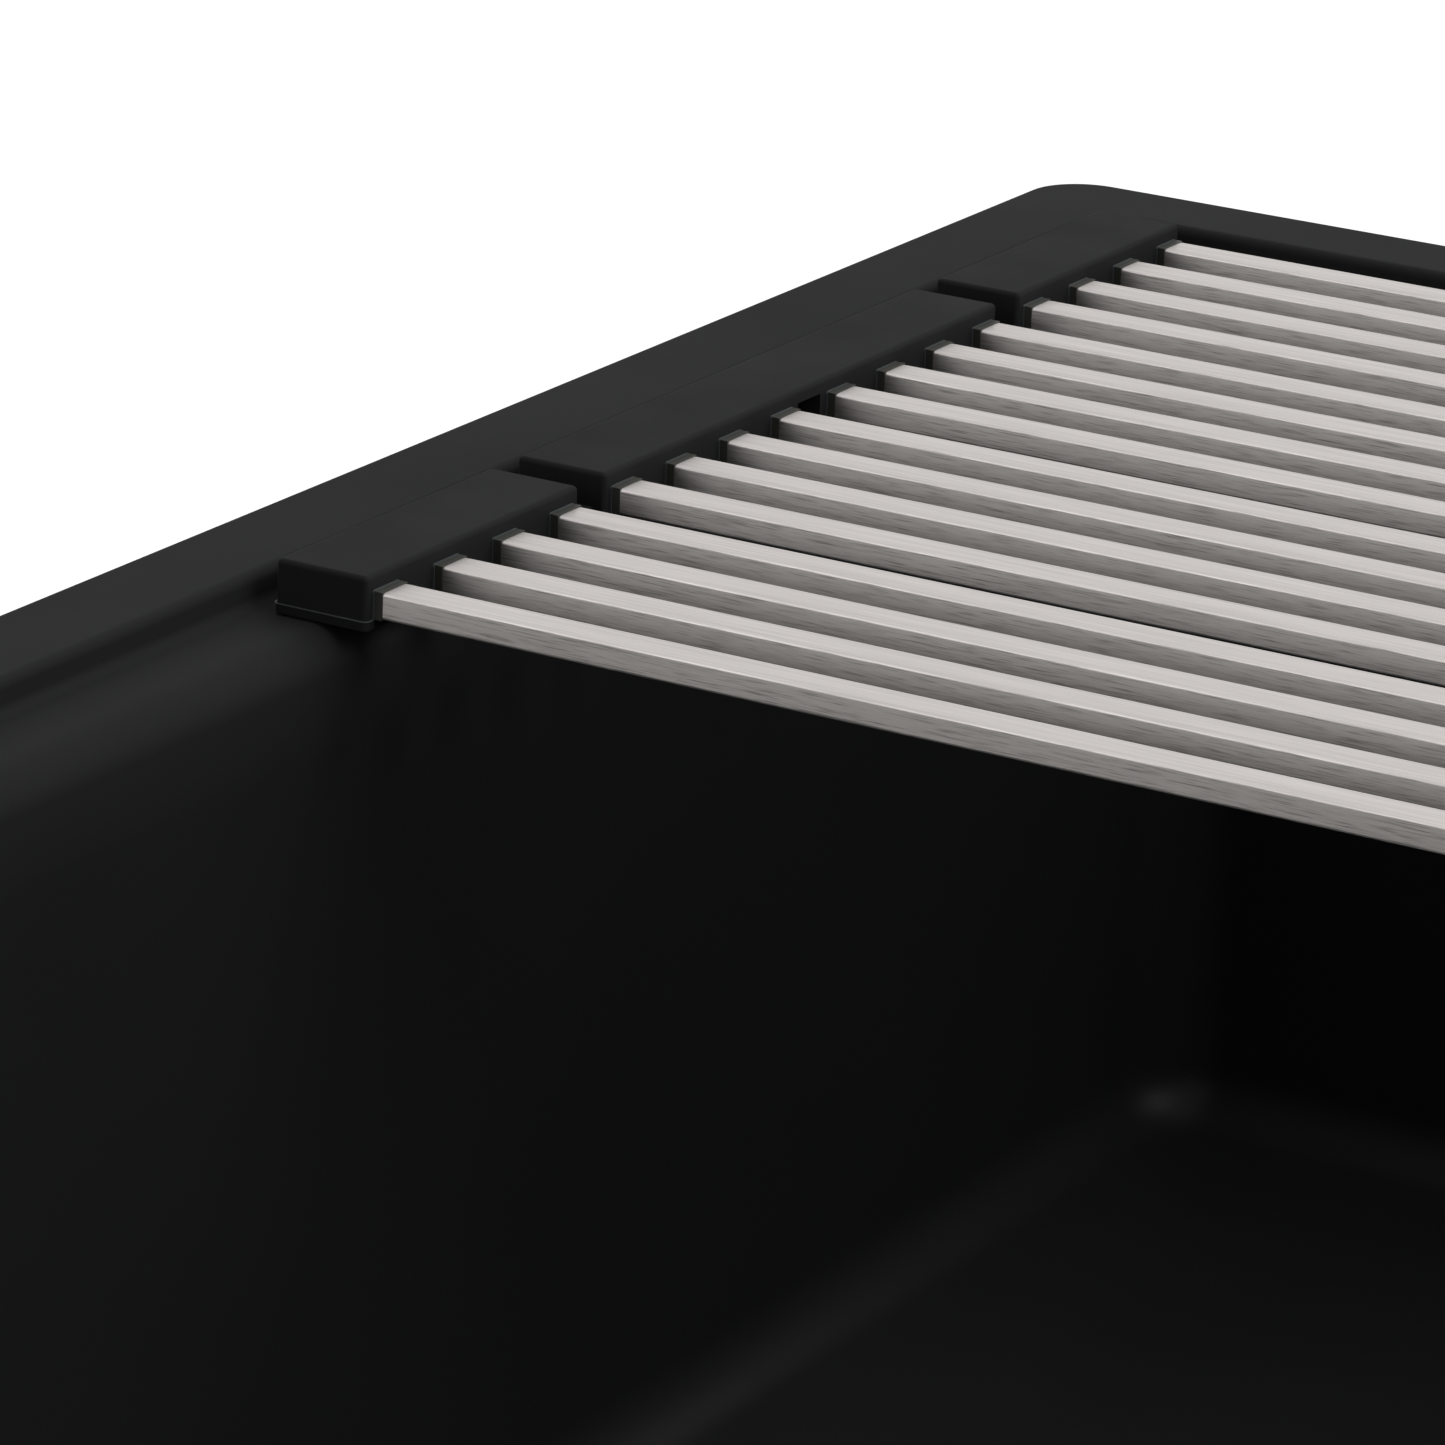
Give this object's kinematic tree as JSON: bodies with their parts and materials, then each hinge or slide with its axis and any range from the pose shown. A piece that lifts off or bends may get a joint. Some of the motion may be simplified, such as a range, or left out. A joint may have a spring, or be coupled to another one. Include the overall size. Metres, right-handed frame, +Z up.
{
  "type": "workstation kitchen sink",
  "caption": "Rectangular single-bowl composite kitchen sink with ledges along front and back, a folding rack of flat steel bars that slides on them, and a basket strainer drain.",
  "frame": {"origin": "middle of the rim's flat top face, the plane that is pressed against the underside of the worktop", "axes": "+X to the right of a person at the sink, along the bowl; +Y to the back, away from that person; +Z up"},
  "size_m": [0.813, 0.483, 0.3077],
  "materials": {
    "composite": "smooth matte black quartz composite",
    "brushed_steel": "brushed along the bar",
    "silicone": "matte black silicone",
    "polished_steel": "polished stainless steel",
    "black_rubber": "matte",
    "fibre": "pressed fibre",
    "cast_zinc": "as cast, satin"
  },
  "bodies": {
    "bowl_and_drain": {"sink_bowl": "composite", "strainer_body": "polished_steel", "flange_seal": "black_rubber", "rubber_gasket": "black_rubber", "fibre_washer": "fibre", "lock_nut": "cast_zinc", "tail_washer": "black_rubber", "coupling_nut": "cast_zinc"},
    "basket": {"strainer_basket": "polished_steel", "stopper_seal": "black_rubber", "basket_post": "polished_steel"},
    "rack_middle": {"fold_web_bc_back": "silicone", "fold_web_bc_front": "silicone"},
    "panel_b": {"bar_b1": "brushed_steel", "bar_b2": "brushed_steel", "bar_b3": "brushed_steel", "bar_b4": "brushed_steel", "end_block_b_back": "silicone", "end_block_b_front": "silicone", "fold_web_ab_back": "silicone", "fold_web_ab_front": "silicone"},
    "panel_c": {"bar_c1": "brushed_steel", "bar_c2": "brushed_steel", "bar_c3": "brushed_steel", "bar_c4": "brushed_steel", "end_block_c_back": "silicone", "end_block_c_front": "silicone", "fold_web_cd_back": "silicone", "fold_web_cd_front": "silicone"},
    "panel_a": {"bar_a1": "brushed_steel", "bar_a2": "brushed_steel", "bar_a3": "brushed_steel", "bar_a4": "brushed_steel", "end_block_a_back": "silicone", "end_block_a_front": "silicone"},
    "panel_d": {"bar_d1": "brushed_steel", "bar_d2": "brushed_steel", "bar_d3": "brushed_steel", "bar_d4": "brushed_steel", "end_block_d_back": "silicone", "end_block_d_front": "silicone"}
  },
  "joints": [
    {"name": "basket_lift", "type": "slide", "parent": "bowl_and_drain", "child": "basket", "axis": [0, 0, 1], "range_m": [0, 0.07]},
    {"name": "rack_slide", "type": "slide", "parent": "bowl_and_drain", "child": "rack_middle", "axis": [1, 0, 0], "range_m": [-0.396, 0.0085]},
    {"name": "fold_b", "type": "hinge", "parent": "rack_middle", "child": "panel_b", "pos_m": [0.189, 0, 0.00465], "axis": [0, 1, 0], "range_deg": [0, 86]},
    {"name": "fold_c", "type": "hinge", "parent": "rack_middle", "child": "panel_c", "pos_m": [0.1987, 0, 0.00465], "axis": [0, -1, 0], "range_deg": [0, 86]},
    {"name": "fold_a", "type": "hinge", "parent": "panel_b", "child": "panel_a", "pos_m": [0.10435, 0, -0.0068], "axis": [0, -1, 0], "range_deg": [0, 172]},
    {"name": "fold_d", "type": "hinge", "parent": "panel_c", "child": "panel_d", "pos_m": [0.28335, 0, -0.0068], "axis": [0, 1, 0], "range_deg": [0, 172]}
  ],
  "couplings": [
    {"joint": "fold_c", "follows": "fold_b", "ratio": 1},
    {"joint": "fold_a", "follows": "fold_b", "ratio": 2},
    {"joint": "fold_d", "follows": "fold_b", "ratio": 2}
  ]
}
